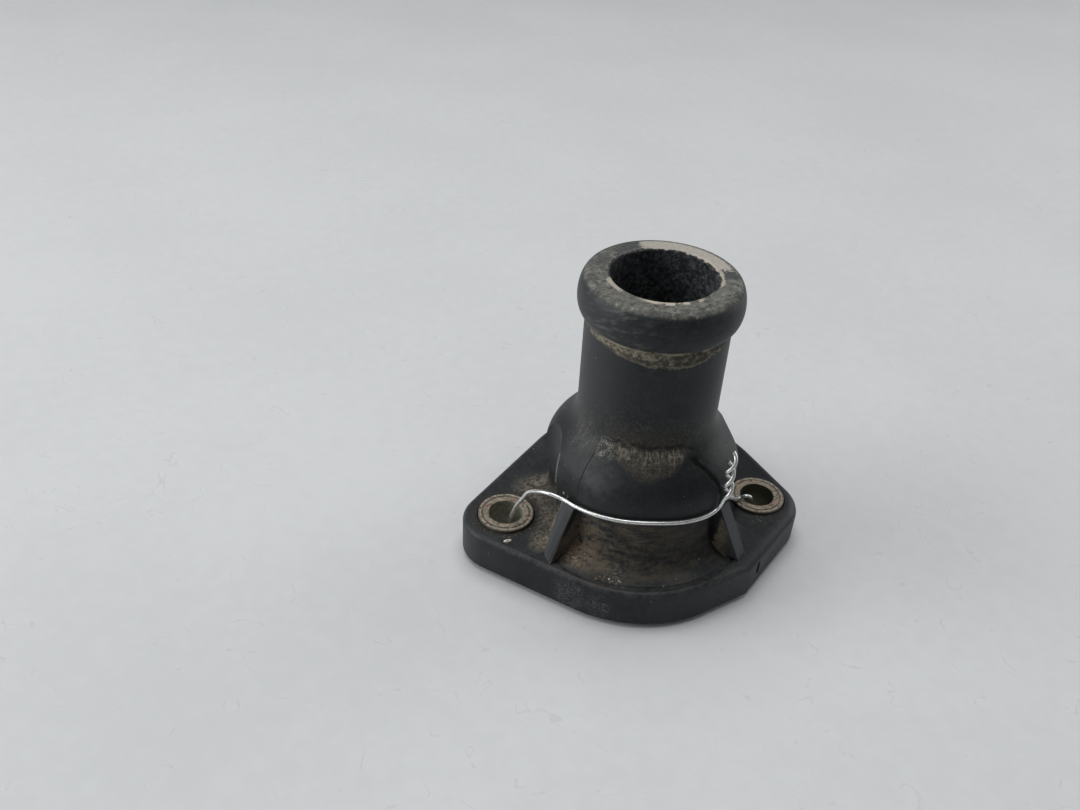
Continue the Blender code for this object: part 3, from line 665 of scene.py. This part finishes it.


def earDirt(s):  # dust and grit on the ears, wear and painted highlights along edges, painted light on the plate's left side and painted shade on its right ear
    top = s.window(s.h, 9.2, 11.0, 0.2)
    pocket = s.near((-22.6, -1.5, 11.5), 2.5, 7.5) | s.near((-23.5, -9.5, 9.6), 1.5, 5.5)
    pocket = pocket | s.near((-23.2, 7.5, 10.5), 2.5, 8.0)
    pocket = (pocket | s.near((-22.0, -8.6, 13.0), 2.2, 6.0)) * (1 - s.ramp(s.h, 22.0, 26.0))
    dust = pocket * s.ramp(s.mottle * 0.5 + s.fine * 0.5, 0.41, 0.56)
    s.paint(dust * 0.86, "earDust")
    s.dull(pocket, 0.80)
    s.relief += dust * 0.05
    bushReach = ((abs(s.x) - halfSpacing) ** 2 + s.y * s.y) ** 0.5
    # painted highlight along the edge of the left head-room cut
    edgeGlint = s.window(bushReach, headRoom["radius"] - 0.05, headRoom["radius"] + 0.42, 0.10)
    edgeGlint = edgeGlint * s.window(s.h, 22.5, 31.5, 1.5) * s.ramp(s.reach + (s.h - 26.5 | 0.0) * 0.25, 22.15, 22.5)
    edgeGlint = edgeGlint * s.window(s.y, -16, -2.5, 1.5) * s.ramp(s.mottle, 0.32, 0.50) * (1 - s.ramp(s.x, -10, -8))
    s.paint(edgeGlint * 0.42, "roomEdgeHighlight")
    # lighter top edge at the left and front: part wear, part painted highlight
    worn = s.window(s.h, 8.55, 9.42, 0.22) * s.ramp(s.patchy * 0.5 + s.mottle * 0.5, 0.36, 0.62)
    s.paint(worn * (1 - s.ramp(s.x, 14, 24)) * 0.40, "worn")
    # painted light on the plate's left side face
    s.paint(s.near((-42.0, -5.0, 5.0), 3.0, 12.0) * 0.42, "leftSideLight")
    collar = (1 - s.ramp(bushReach, 7.4, 9.3 + s.swell * 2.0)) * top
    crud = collar * s.ramp(s.fine, 0.44, 0.56)
    s.paint(collar * 0.62, "sootAndShade")
    s.paint(crud * (1 - s.ramp(s.x, -10, 10)) * 0.50, "crud")
    s.relief += collar * s.fine * 0.16
    # painted shade over the right ear
    s.paint(s.near((33.0, 12.0, 9.5), 8.0, 20.0) * 0.85, "rightEarShade")
    s.paint(s.near((30.0, -7.8, 9.5), 0.5, 5.5) * top * s.ramp(s.mottle, 0.48, 0.64) * 0.30, "earDust")


def mouthChalk(s):  # chalky mouth with a cream patch at the back and right and a broken pale lip
    mouth = s.ramp(s.h, 72.9 + s.wave * 1.2, 73.75 + s.wave * 1.2)
    streaks = s.noise(1.0, 5, 0.65, at=s.point(s.x * 0.30 + s.y * 0.22, s.y * 0.9 - s.x * 0.5, 0.0), shift=5)
    smudge = s.noise(0.5, 6, 0.72, at=s.point(s.x + s.y * 0.5, s.y * 1.9 - s.x * 0.8, 0.0), shift=57)
    chalk = s.mix(s.ramp(streaks * 0.6 + s.mottle * 0.4, 0.38, 0.60), "chalkDark", "chalk")
    chalk = s.mix(s.ramp(s.fine, 0.58, 0.70) * 0.45, chalk, "chalkFine")
    chalk = s.mix(s.ramp(smudge, 0.50, 0.66) * 0.55, chalk, "chalkGrey")
    chalk = s.mix(s.ramp(s.noise(0.42, 5, 0.6, shift=71), 0.46, 0.62) * 0.60, chalk, "chalkSoot")
    chalk = s.mix(s.ramp(s.noise(0.60, 5, 0.7, shift=83), 0.54, 0.66) * 0.50, chalk, "chalkPale")
    s.paint(mouth, chalk)
    darkBack = s.window(s.angle, 92, 152, 9) * s.ramp(s.patchy * 0.5 + s.mottle * 0.5, 0.42, 0.52)
    s.paint(mouth * darkBack * 0.8, "mouthBack")
    jag = s.wave * 34.0 + s.swell * 22.0
    frayed = s.angle + jag * 0.6
    patch = s.window(s.angle + jag, 2.0, 96.0, 2.0) * s.ramp(s.h, 73.2, 73.6)
    patch = patch * (1 - s.ramp(s.reach + (s.fine - 0.5), 15.2, 15.7))
    scab = s.window(s.angle + jag * 0.5, -12.0, 3.0, 1.5) * s.window(s.reach + s.wave * 2, 12.9, 15.6, 0.3)
    s.paint(patch, s.mix(s.ramp(s.mottle, 0.35, 0.7), "patchDark", "patch"))
    s.paint(mouth * scab * 0.85, "scab")
    lip = s.window(s.reach + (s.fine - 0.5) * 0.7 + s.swell * 1.6, 11.1, 12.75, 0.16) * s.ramp(s.h, 72.6, 73.3)
    where = s.window(s.angle, -124, -62, 8) * s.ramp(s.noise(0.45, 3, 0.6, shift=99), 0.38, 0.48)
    where = where | s.window(frayed, -178, -150, 5) * 0.75 | s.window(frayed, -28, 40, 6) * 0.8
    where = where | s.window(frayed, 92, 168, 6) * s.ramp(s.fine, 0.50, 0.60) * 0.7
    s.paint(lip * where * 0.9, "lip")
    s.dull(mouth, 0.88)
    s.relief = s.relief + mouth * (s.mottle * 0.16 + s.fine * 0.07) + patch * 0.10 + lip * where * 0.12


def boreCrust(s):  # black crust with pale flecks, biting into the back of the mouth
    back = s.window(s.angle, -32, 178, 12)
    bite = (s.noise(0.75, 6, 0.75, shift=91) - 0.50) * 3.2 * back
    bore = (1 - s.ramp(s.reach - bite, 11.75, 11.95)) * (1 - s.ramp(s.h - back * 9, 73.3, 73.7))
    crust = s.noise(0.85, 6, 0.7, shift=88)
    s.paint(bore, s.mix(s.ramp(crust, 0.42, 0.62), "crust", "crustPale"))
    flecks = s.ramp(s.noise(1.1, 6, 0.78, shift=95), 0.575, 0.640) * s.ramp(s.h, 56, 71)
    s.paint(bore * (flecks * (0.22 + 0.78 * s.window(s.angle, -30, 110, 25))) * 0.88, "fleck")
    s.dull(bore, 0.70)
    s.relief += bore * (crust * 1.5 + s.mottle * 0.35)
    return bore


def marks(s, bore):  # scratches, specks, and painted shade along the pad's right edge and in the hairline at its left
    lines = s.lines(s.noise(0.8, 3, 0.6, shift=15, distortion=1.2), 0.006, 0.030)
    scraped = s.near((-20.3, -22.8, 4.3), 1.6, 5.4) | s.near((-14.1, -26.8, 3.9), 1.0, 4.6) * 0.8
    scraped = scraped | s.near((16.5, -27.0, 4.5), 1, 7) * 0.35
    s.paint(scraped * (lines * 0.9 + s.ramp(s.fine, 0.56, 0.64) * 0.6) * 0.75, "scratch")
    s.relief -= scraped * lines * 0.12
    specks = s.grains(0.32, 0.075, 0.30, 5.0) | s.grains(0.75, 0.10, 0.16, 44.0) * 0.7
    s.paint(specks * 0.60 * (1 - bore), "speck")
    spots = s.near((-5.9, -21.4, 30.1), 0.15, 0.34) | s.near((-19.8, -8.3, 22.4), 0.2, 0.45)
    s.paint((spots | s.near((5.9, -15.8, 38.1), 0.3, 0.65)) * 0.9, "mark")
    # painted shade in the trough along the pad's right edge, with a small dent
    creaseShade = s.window(s.y + 16.5 + (s.x - 6.0) * 0.40 + s.swell * 1.1 + s.wave * 1.2, -0.70, 0.50, 0.18)
    creaseShade = creaseShade * s.window(s.x, 5.2, 14.2, 0.5) * s.window(s.h, 25.6, 38.0, 0.8)
    creaseShade = creaseShade * (0.72 + 0.28 * s.ramp(s.mottle, 0.35, 0.5))
    s.paint(creaseShade * 0.97, "creaseShade")
    s.dull(creaseShade, 0.95)
    # painted shade in the hairline at the pad's left edge, with a small dent
    hairShade = s.window(s.angle + s.swell * 1.2, -141.9, -141.1, 0.35) * s.window(s.h, 25.5, 36.5, 0.8) * s.outside
    s.paint(hairShade * 0.75, "sootAndShade")
    s.relief = s.relief - hairShade * 0.08 - creaseShade * 0.05


def plasticShade():
    s = Shade("agedBlackPlastic", grime, {"IOR": 1.46, "Specular IOR Level": 0.30})
    s.patchy = s.noise(0.33, 5, 0.6, shift=31)
    s.mottle = s.noise(1.1, 6, 0.65, shift=7)
    s.fine = s.noise(3.6, 4, 0.7, shift=13)
    s.drawn = s.noise(1.0, 5, 0.65, at=s.point(s.angle * 0.5, s.h * 0.16, s.reach * 0.5), shift=3)  # up and down
    s.swell, s.wave = s.patchy - 0.5, s.mottle - 0.5
    s.outside = s.ramp(s.reach, 14, 15)  # not in the bore
    for layer in (mouldedSkin, scuffs, scaleRing, shoulderGrit, skirtDust, ribWear, earDirt, mouthChalk):
        layer(s)
    marks(s, boreCrust(s))
    return s.finish()


makeFlange()


# bushes: yellow zinc on turned steel, one sleeve used twice

bush = {"bore": 4.15, "edge": 0.3, "boreEdge": 0.15, "step": 0.42,
        "zinc": (0.345, 0.312, 0.240), "dull": (0.190, 0.166, 0.120), "blotch": (0.070, 0.057, 0.040),
        "bright": (0.40, 0.365, 0.29), "pink": (0.300, 0.190, 0.150), "worn": (0.50, 0.47, 0.40),
        "dirtAndDarkRim": (0.030, 0.026, 0.020), "inside": (0.270, 0.272, 0.215), "insidePale": (0.42, 0.42, 0.33),
        "blush": (0.36, 0.19, 0.18), "shaded": (0.040, 0.036, 0.028), "right": (0.115, 0.105, 0.060),
        "deep": (0.03, 0.029, 0.022)}


def bushShade():
    s = Shade("turnedZinc", bush, {"IOR": 1.5})
    across = abs(s.x) - halfSpacing
    reach = (across * across + s.y * s.y) ** 0.5
    turn = s.maths("ARCTAN2", s.y, across)
    mottle = s.noise(0.8, 5, 0.62)
    fine = s.noise(3.4, 4, 0.65, shift=4)
    rings = s.noise(1.0, 3, 0.6, at=s.point(reach * 6.5, turn * 0.30, 0.0))
    blotch = s.noise(1.6, 6, 0.75, shift=17)
    s.colour = s.mix(s.ramp(mottle * 0.5 + blotch * 0.5, 0.38, 0.60), "dull", "zinc")
    s.paint(s.ramp(blotch, 0.52, 0.62) * 0.75, "blotch")
    s.paint(s.ramp(rings, 0.35, 0.62) * s.ramp(mottle, 0.34, 0.54) * 0.60, "bright")
    s.paint(s.ramp(s.noise(0.55, 4, 0.6, shift=8), 0.50, 0.64) * 0.65, "pink")
    top = s.ramp(s.h, bushTop - 0.35, bushTop - 0.25)
    trench = s.window(reach + (fine - 0.5) * 0.30, 5.55, 5.86, 0.12) * top
    trench = trench * s.ramp(s.noise(0.9, 3, 0.6, shift=2), 0.36, 0.48)
    # darker towards the outer edge and over its rounding
    rim = s.ramp(reach + (mottle - 0.5) * 0.9, 6.25, 6.75)
    pits = s.ramp(s.noise(1.05, 6, 0.85, shift=29), 0.53, 0.60) * top
    worn = s.window(reach + (fine - 0.5) * 0.5, 6.15, 6.62, 0.15) * s.ramp(s.noise(1.1, 4, 0.6, shift=37), 0.48, 0.58)
    s.paint(worn * top * 0.75, "worn")
    dirtAndDarkRim = trench * 0.95 | rim * 0.80 | s.ramp(fine, 0.56, 0.66) * 0.60 | pits * 0.80
    s.paint(dirtAndDarkRim, "dirtAndDarkRim")
    inside = 1 - s.ramp(reach, bush["bore"] + 0.02, bush["bore"] + 0.12)
    right = s.ramp(s.x, -5, 5)
    lining = s.mix(s.ramp(mottle, 0.4, 0.65), "inside", "insidePale")
    blush = s.near((-29.2, -2.9, 6.0), 0.8, 3.4) | s.near((33.5, -3.6, 7.0), 0.5, 2.5) * 0.4
    lining = s.mix(blush * 0.8, lining, "blush")
    # painted shade in the bores: the right bush's lining darker, most of all higher up, and each bore darker towards
    # the bottom
    lining = s.mix(right * s.ramp(s.h + (mottle - 0.5) * 3, 3.5, 8.5) * 0.80, lining, "shaded")
    s.paint(inside, s.mix(right * 0.45, lining, "right"))
    s.paint(inside * (1 - s.ramp(s.h, 0.0, 5.0)) * 0.6, "deep")
    lathe = s.maths("SINE", reach * (2 * math.pi / bush["step"]))
    s.relief = top * (lathe * 0.012 + rings * 0.05) + fine * 0.03 + mottle * 0.05 - trench * 0.16 - pits * 0.08
    s.rough = s.blend(mottle, 0.40, 0.60) + dirtAndDarkRim * 0.25
    s.metal = 0.62 - dirtAndDarkRim * 0.55
    return s.finish()


def makeBush(name, side, material):
    inner, outer, top = bush["bore"], bushOuter, bushTop
    edge, lip = bush["edge"], bush["boreEdge"]
    profile = [(inner, lip), (inner, top - lip)] + quarter((inner + lip, top - lip), -lip, lip, 0, 4)
    profile += [(outer - edge, top)]
    profile += [(outer - edge + edge * math.sin(deg(a)), top - edge + edge * math.cos(deg(a)))
                for a in (22, 45, 68, 90)]
    profile += [(outer, edge), (outer - edge, 0), (inner + lip, 0), (inner, lip)]
    piece = finished(placed(turned(name, profile, 128), side * halfSpacing, 0), material)
    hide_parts("bush_left" if side < 0 else "bush_right")
    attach(piece, "root")


zinc = bushShade()
makeBush("sleeveLeft", -1, zinc)
makeBush("sleeveRight", 1, zinc)
print("bushes turned")


# tie wire: up through the right bush, twisted, round the dome, down the left bush and back underneath

wire = {"radius": 0.48, "bow": 9.0, "clear": 0.3, "corners": 12, "step": 0.55,
        "twistAngle": -55.4, "twistRadius": 0.80, "twistTurns": 1.6, "twistHeight": 10.1, "twistFoot": 5.1,
        "twistOut": 0.75, "lean": (0.5, 2.9), "shortEnd": 0.8,
        "zinc": (0.74, 0.75, 0.74), "dull": (0.54, 0.55, 0.55), "stain": (0.20, 0.195, 0.18),
        "grow": 0.45}  # by which the solid's pad stands out


def aroundDome(degrees, height, extra=0.0):
    reach = cover["dome"] + max(0.0, wire["grow"] + Vector(pad["shift"]).dot(aim(degrees, 1)))
    return aim(degrees, reach + wire["clear"] + wire["radius"] + extra).to_3d() + Vector((0, 0, domeFoot + height))


def strand(phase, count, reach, taper):  # one half of the twisted pair
    foot = aroundDome(wire["twistAngle"], wire["twistFoot"], wire["twistOut"])
    points = []
    for i in range(count + 1):
        t = reach * i / count
        turn = deg(phase) + 2 * math.pi * wire["twistTurns"] * t
        mid = foot + Vector((wire["lean"][0], wire["lean"][1], wire["twistHeight"])) * t
        points.append(mid + Vector((math.cos(turn), math.sin(turn), 0)) * wire["twistRadius"] * (1 + taper * t))
    return points


def smoothed(points, spacing):  # a curve through all the points
    out = []
    padded = [points[0] * 2 - points[1]] + points + [points[-1] * 2 - points[-2]]
    for a, b, c, d in zip(padded, padded[1:], padded[2:], padded[3:]):
        count = max(1, round((c - b).length / spacing))
        for i in range(count):
            t = i / count
            out.append(0.5 * ((2 * b) + (c - a) * t + (2 * a - 5 * b + 4 * c - d) * t * t
                              + (3 * b - a - 3 * c + d) * t ** 3))
    out.append(points[-1])
    return out


def wireRoute():
    thick, hole = plate["thick"], bush["bore"]
    below, rim = -wire["clear"] - wire["radius"], bushTop + wire["radius"]
    left, right = Vector((-halfSpacing, 0, 0)), Vector((halfSpacing, 0, 0))
    first = strand(200, 22, 1.0, 0.25)
    second = strand(20, 18, wire["shortEnd"], 0.10)
    route = [aroundDome(*stop) for stop in (
        (-59, 2.3), (-68, 1.6), (-82, 1.9), (-98, 2.2), (-113, 1.7), (-127, 1.1),
        (-139, 0.6, 0.1), (-149, 0.5, 0.6), (-158, 0.4, 2.6))]
    route += [left + Vector(stop) for stop in (
        (4.6, -6.0, 21.4), (3.2, -4.9, 18.6), (1.9, -3.7, rim + 4.5),
        (hole * 0.20, -hole * 0.70, rim + 0.3), (hole * 0.10, -hole * 0.58, thick / 2),
        (hole * 0.15, -hole * 0.52, 0.9), (hole * 0.55, -hole * 0.45, below))]
    route += [Vector((-halfSpacing * 0.62, wire["bow"] * 0.35, below)), Vector((0, wire["bow"], below)),
              Vector((halfSpacing * 0.62, wire["bow"] * 0.40, below))]
    route += [right + Vector(stop) for stop in (
        (-hole * 0.70, -hole * 0.45, below), (-hole * 0.30, -hole * 0.50, 0.9), (-2.0, -2.05, thick / 2),
        (-2.1, -2.0, 8.0), (-2.2, -1.95, 10.2), (-2.65, -1.9, 11.35), (-3.9, -1.95, 11.75), (-6.3, -2.4, 11.3))]
    route.append(second[0].lerp(route[-1], 0.35))
    middle = smoothed([first[0]] + route + [second[0]], 1.2)
    points = smoothed(list(reversed(first)) + middle[1:-1] + second, wire["step"])
    for point in points:
        point.z = max(point.z, below)
    return points


def wireShade():
    s = Shade("galvanised", wire, {"IOR": 1.5})
    mottle = s.noise(1.3, 5, 0.6)
    fine = s.noise(5.0, 3, 0.6, shift=6)
    s.colour = s.mix(s.ramp(mottle, 0.36, 0.62), "dull", "zinc")
    s.paint(s.ramp(fine, 0.62, 0.72) * 0.25, "stain")
    s.rough = s.blend(mottle, 0.40, 0.30)
    s.metal = s.blend(s.ramp(fine, 0.6, 0.72), 1.0, 0.8)
    s.relief = mottle * 0.006
    return s.finish()


def makeWire():
    deselect()
    bpy.ops.curve.primitive_bezier_curve_add()
    piece = named("tieWire")
    curve = piece.data
    curve.splines.clear()
    spline = curve.splines.new("POLY")
    points = wireRoute()
    spline.points.add(len(points) - 1)
    for point, where in zip(spline.points, points):
        point.co = (*(where * mm), 1.0)
    curve.dimensions = "3D"
    curve.bevel_depth = wire["radius"] * mm
    curve.bevel_resolution = wire["corners"] // 4
    curve.use_fill_caps = True
    alone(piece)
    bpy.ops.object.convert(target="MESH")
    piece = finished(bpy.context.object, wireShade(), 50)
    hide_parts("tie_wire")
    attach(piece, "root")
    print("tie wire", len(points), "points")


makeWire()


# loose grit: a pale chip and rusty crumbs, each sunk a little into what it lies on

crumb = {"chip": (-32.8, -9.5, 9.6), "chipSize": (1.10, 0.62, 0.42), "heap": (-11.2, -25.4),
         "rust": (0.23, 0.115, 0.055), "bone": (0.68, 0.65, 0.58), "grit": (0.020, 0.018, 0.015),
         "gritPale": (0.150, 0.135, 0.105)}


def grain(where, size, turn, seed):
    deselect()
    bpy.ops.mesh.primitive_ico_sphere_add(subdivisions=2 if size[0] < 1 else 1, radius=mm)
    piece = named("crumb")
    rng = random.Random(seed)
    for vertex in piece.data.vertices:
        vertex.co *= 1 + rng.uniform(-0.22, 0.22)
    piece.scale = size
    bpy.ops.object.transform_apply()
    return placed(piece, *where, turn)


def crumbShade(name, colour):
    s = Shade(name, crumb, {"Specular IOR Level": 0.3})
    tone = s.noise(1.5, 4, 0.6)
    if name == "paleCrumbs":
        s.colour = s.mix(s.ramp(tone, 0.62, 0.40), colour, tuple(c * 0.45 for c in colour))
    else:  # rusty on the skirt, dark by the left bush
        grit = s.mix(s.ramp(tone, 0.45, 0.60), "grit", "gritPale")
        s.colour = s.mix(1 - s.ramp(s.x, -24, -22), colour, grit)
    s.rough = s.blend(tone, 0.7, 0.95)
    s.relief = tone * 0.1
    return s.finish()


def makeCrumbs():
    rng = random.Random(11)
    thick, foot = plate["thick"], cover["skirtFoot"]
    bone = [grain(crumb["chip"], crumb["chipSize"], 12, 1)]
    rusty = []
    for i in range(9):
        spot = (crumb["heap"][0] + rng.uniform(-3.2, 2.6), crumb["heap"][1] + rng.uniform(-1.6, 1.6))
        reach = math.hypot(*spot)
        if not foot + 0.2 > reach > foot - 2.2:
            spot = tuple(v * (foot - 0.9) / reach for v in spot)
        size = rng.uniform(0.11, 0.22)
        pieces = rusty if i % 3 else bone
        pieces.append(grain((*spot, thick + 0.12), (size * 1.3, size, size * 0.8), 40 * i, i))
    for i in range(34):  # dark grit in front of the left bush
        a = deg(rng.uniform(-168, -20))
        reach = rng.uniform(bushOuter + 0.5, bushOuter + 1.9)
        size = rng.uniform(0.09, 0.24)
        where = (-halfSpacing + reach * math.cos(a), reach * math.sin(a), thick + size * 0.2)
        rusty.append(grain(where, (size * 1.2, size, size * 0.8), 30 * i, 50 + i))
    for pieces, name, colour in ((bone, "paleCrumbs", crumb["bone"]), (rusty, "darkCrumbs", crumb["rust"])):
        piece = finished(joined(pieces, name), crumbShade(name, colour), 20)
        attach(piece, "root")


makeCrumbs()
print("crumbs laid")


# plain soft studio

studio = {"sky": 0.18, "paper": (0.585, 0.600, 0.610), "speck": (0.20, 0.20, 0.20), "aim": (0, 0, 0.03),
          "lamps": (("softTop", (-0.06, 0.16, 1.10), 0.90, 7.9), ("softLeft", (-0.95, 0.05, 0.42), 0.80, 6.4),
                    ("softRight", (0.87, 0.26, 0.34), 0.70, 2.5))}

deselect()
bpy.ops.mesh.primitive_plane_add(size=3, location=(0, 0, 0))
floor = named("tableTop")


def paperShade():
    s = Shade("tablePaper", studio, {"Roughness": 0.62, "Specular IOR Level": 0.25})
    small = s.noise(0.22, 5, 0.6, shift=3)
    tone = s.ramp(s.noise(0.012, 4, 0.5) * 0.55 + small * 0.45, 0.38, 0.62)
    s.colour = s.mix(tone, tuple(c * 0.955 for c in studio["paper"]), studio["paper"])
    worn = s.lines(s.noise(0.045, 3, 0.5, shift=19, distortion=1.0), 0.0015, 0.008)
    s.paint(worn * s.ramp(small, 0.5, 0.62) * 0.16, "speck")
    spots = s.grains(0.055, 0.030, 0.22, 9.0) | s.grains(0.11, 0.035, 0.06, 30.0)
    s.paint(spots * 0.55, "speck")
    return s.finish()


floor.data.materials.append(paperShade())

view = {"place": (-58.265, -179.361, 174.032), "heading": -10.52, "down": 35.93, "roll": 3.19, "lens": 33.31}


def makeCamera():
    lens = bpy.data.cameras.new("camera")
    camera = bpy.data.objects.new("camera", lens)
    bpy.context.collection.objects.link(camera)
    turn = (Matrix.Rotation(deg(view["heading"]), 4, "Z") @ Matrix.Rotation(deg(90 - view["down"]), 4, "X")
            @ Matrix.Rotation(deg(view["roll"]), 4, "Z"))
    camera.matrix_world = Matrix.Translation(Vector(view["place"]) * mm + axis) @ turn
    lens.lens = view["lens"]
    lens.sensor_width = 36
    lens.clip_start = 0.005
    bpy.context.scene.camera = camera


def makeLamps():
    world = bpy.data.worlds.new("studio")
    bpy.context.scene.world = world
    world.use_nodes = True
    sky = world.node_tree.nodes["Background"]
    sky.inputs["Color"].default_value = (1, 1, 1, 1)
    sky.inputs["Strength"].default_value = studio["sky"]
    for name, place, size, power in studio["lamps"]:
        lamp = bpy.data.lights.new(name, "AREA")
        lamp.shape = "DISK"
        lamp.size = size
        lamp.energy = power
        piece = bpy.data.objects.new(name, lamp)
        bpy.context.collection.objects.link(piece)
        piece.location = place
        piece.rotation_euler = (Vector(studio["aim"]) - Vector(place)).to_track_quat("-Z", "Y").to_euler()


makeCamera()
makeLamps()
bpy.context.scene.view_settings.view_transform = "Standard"
print("studio set")
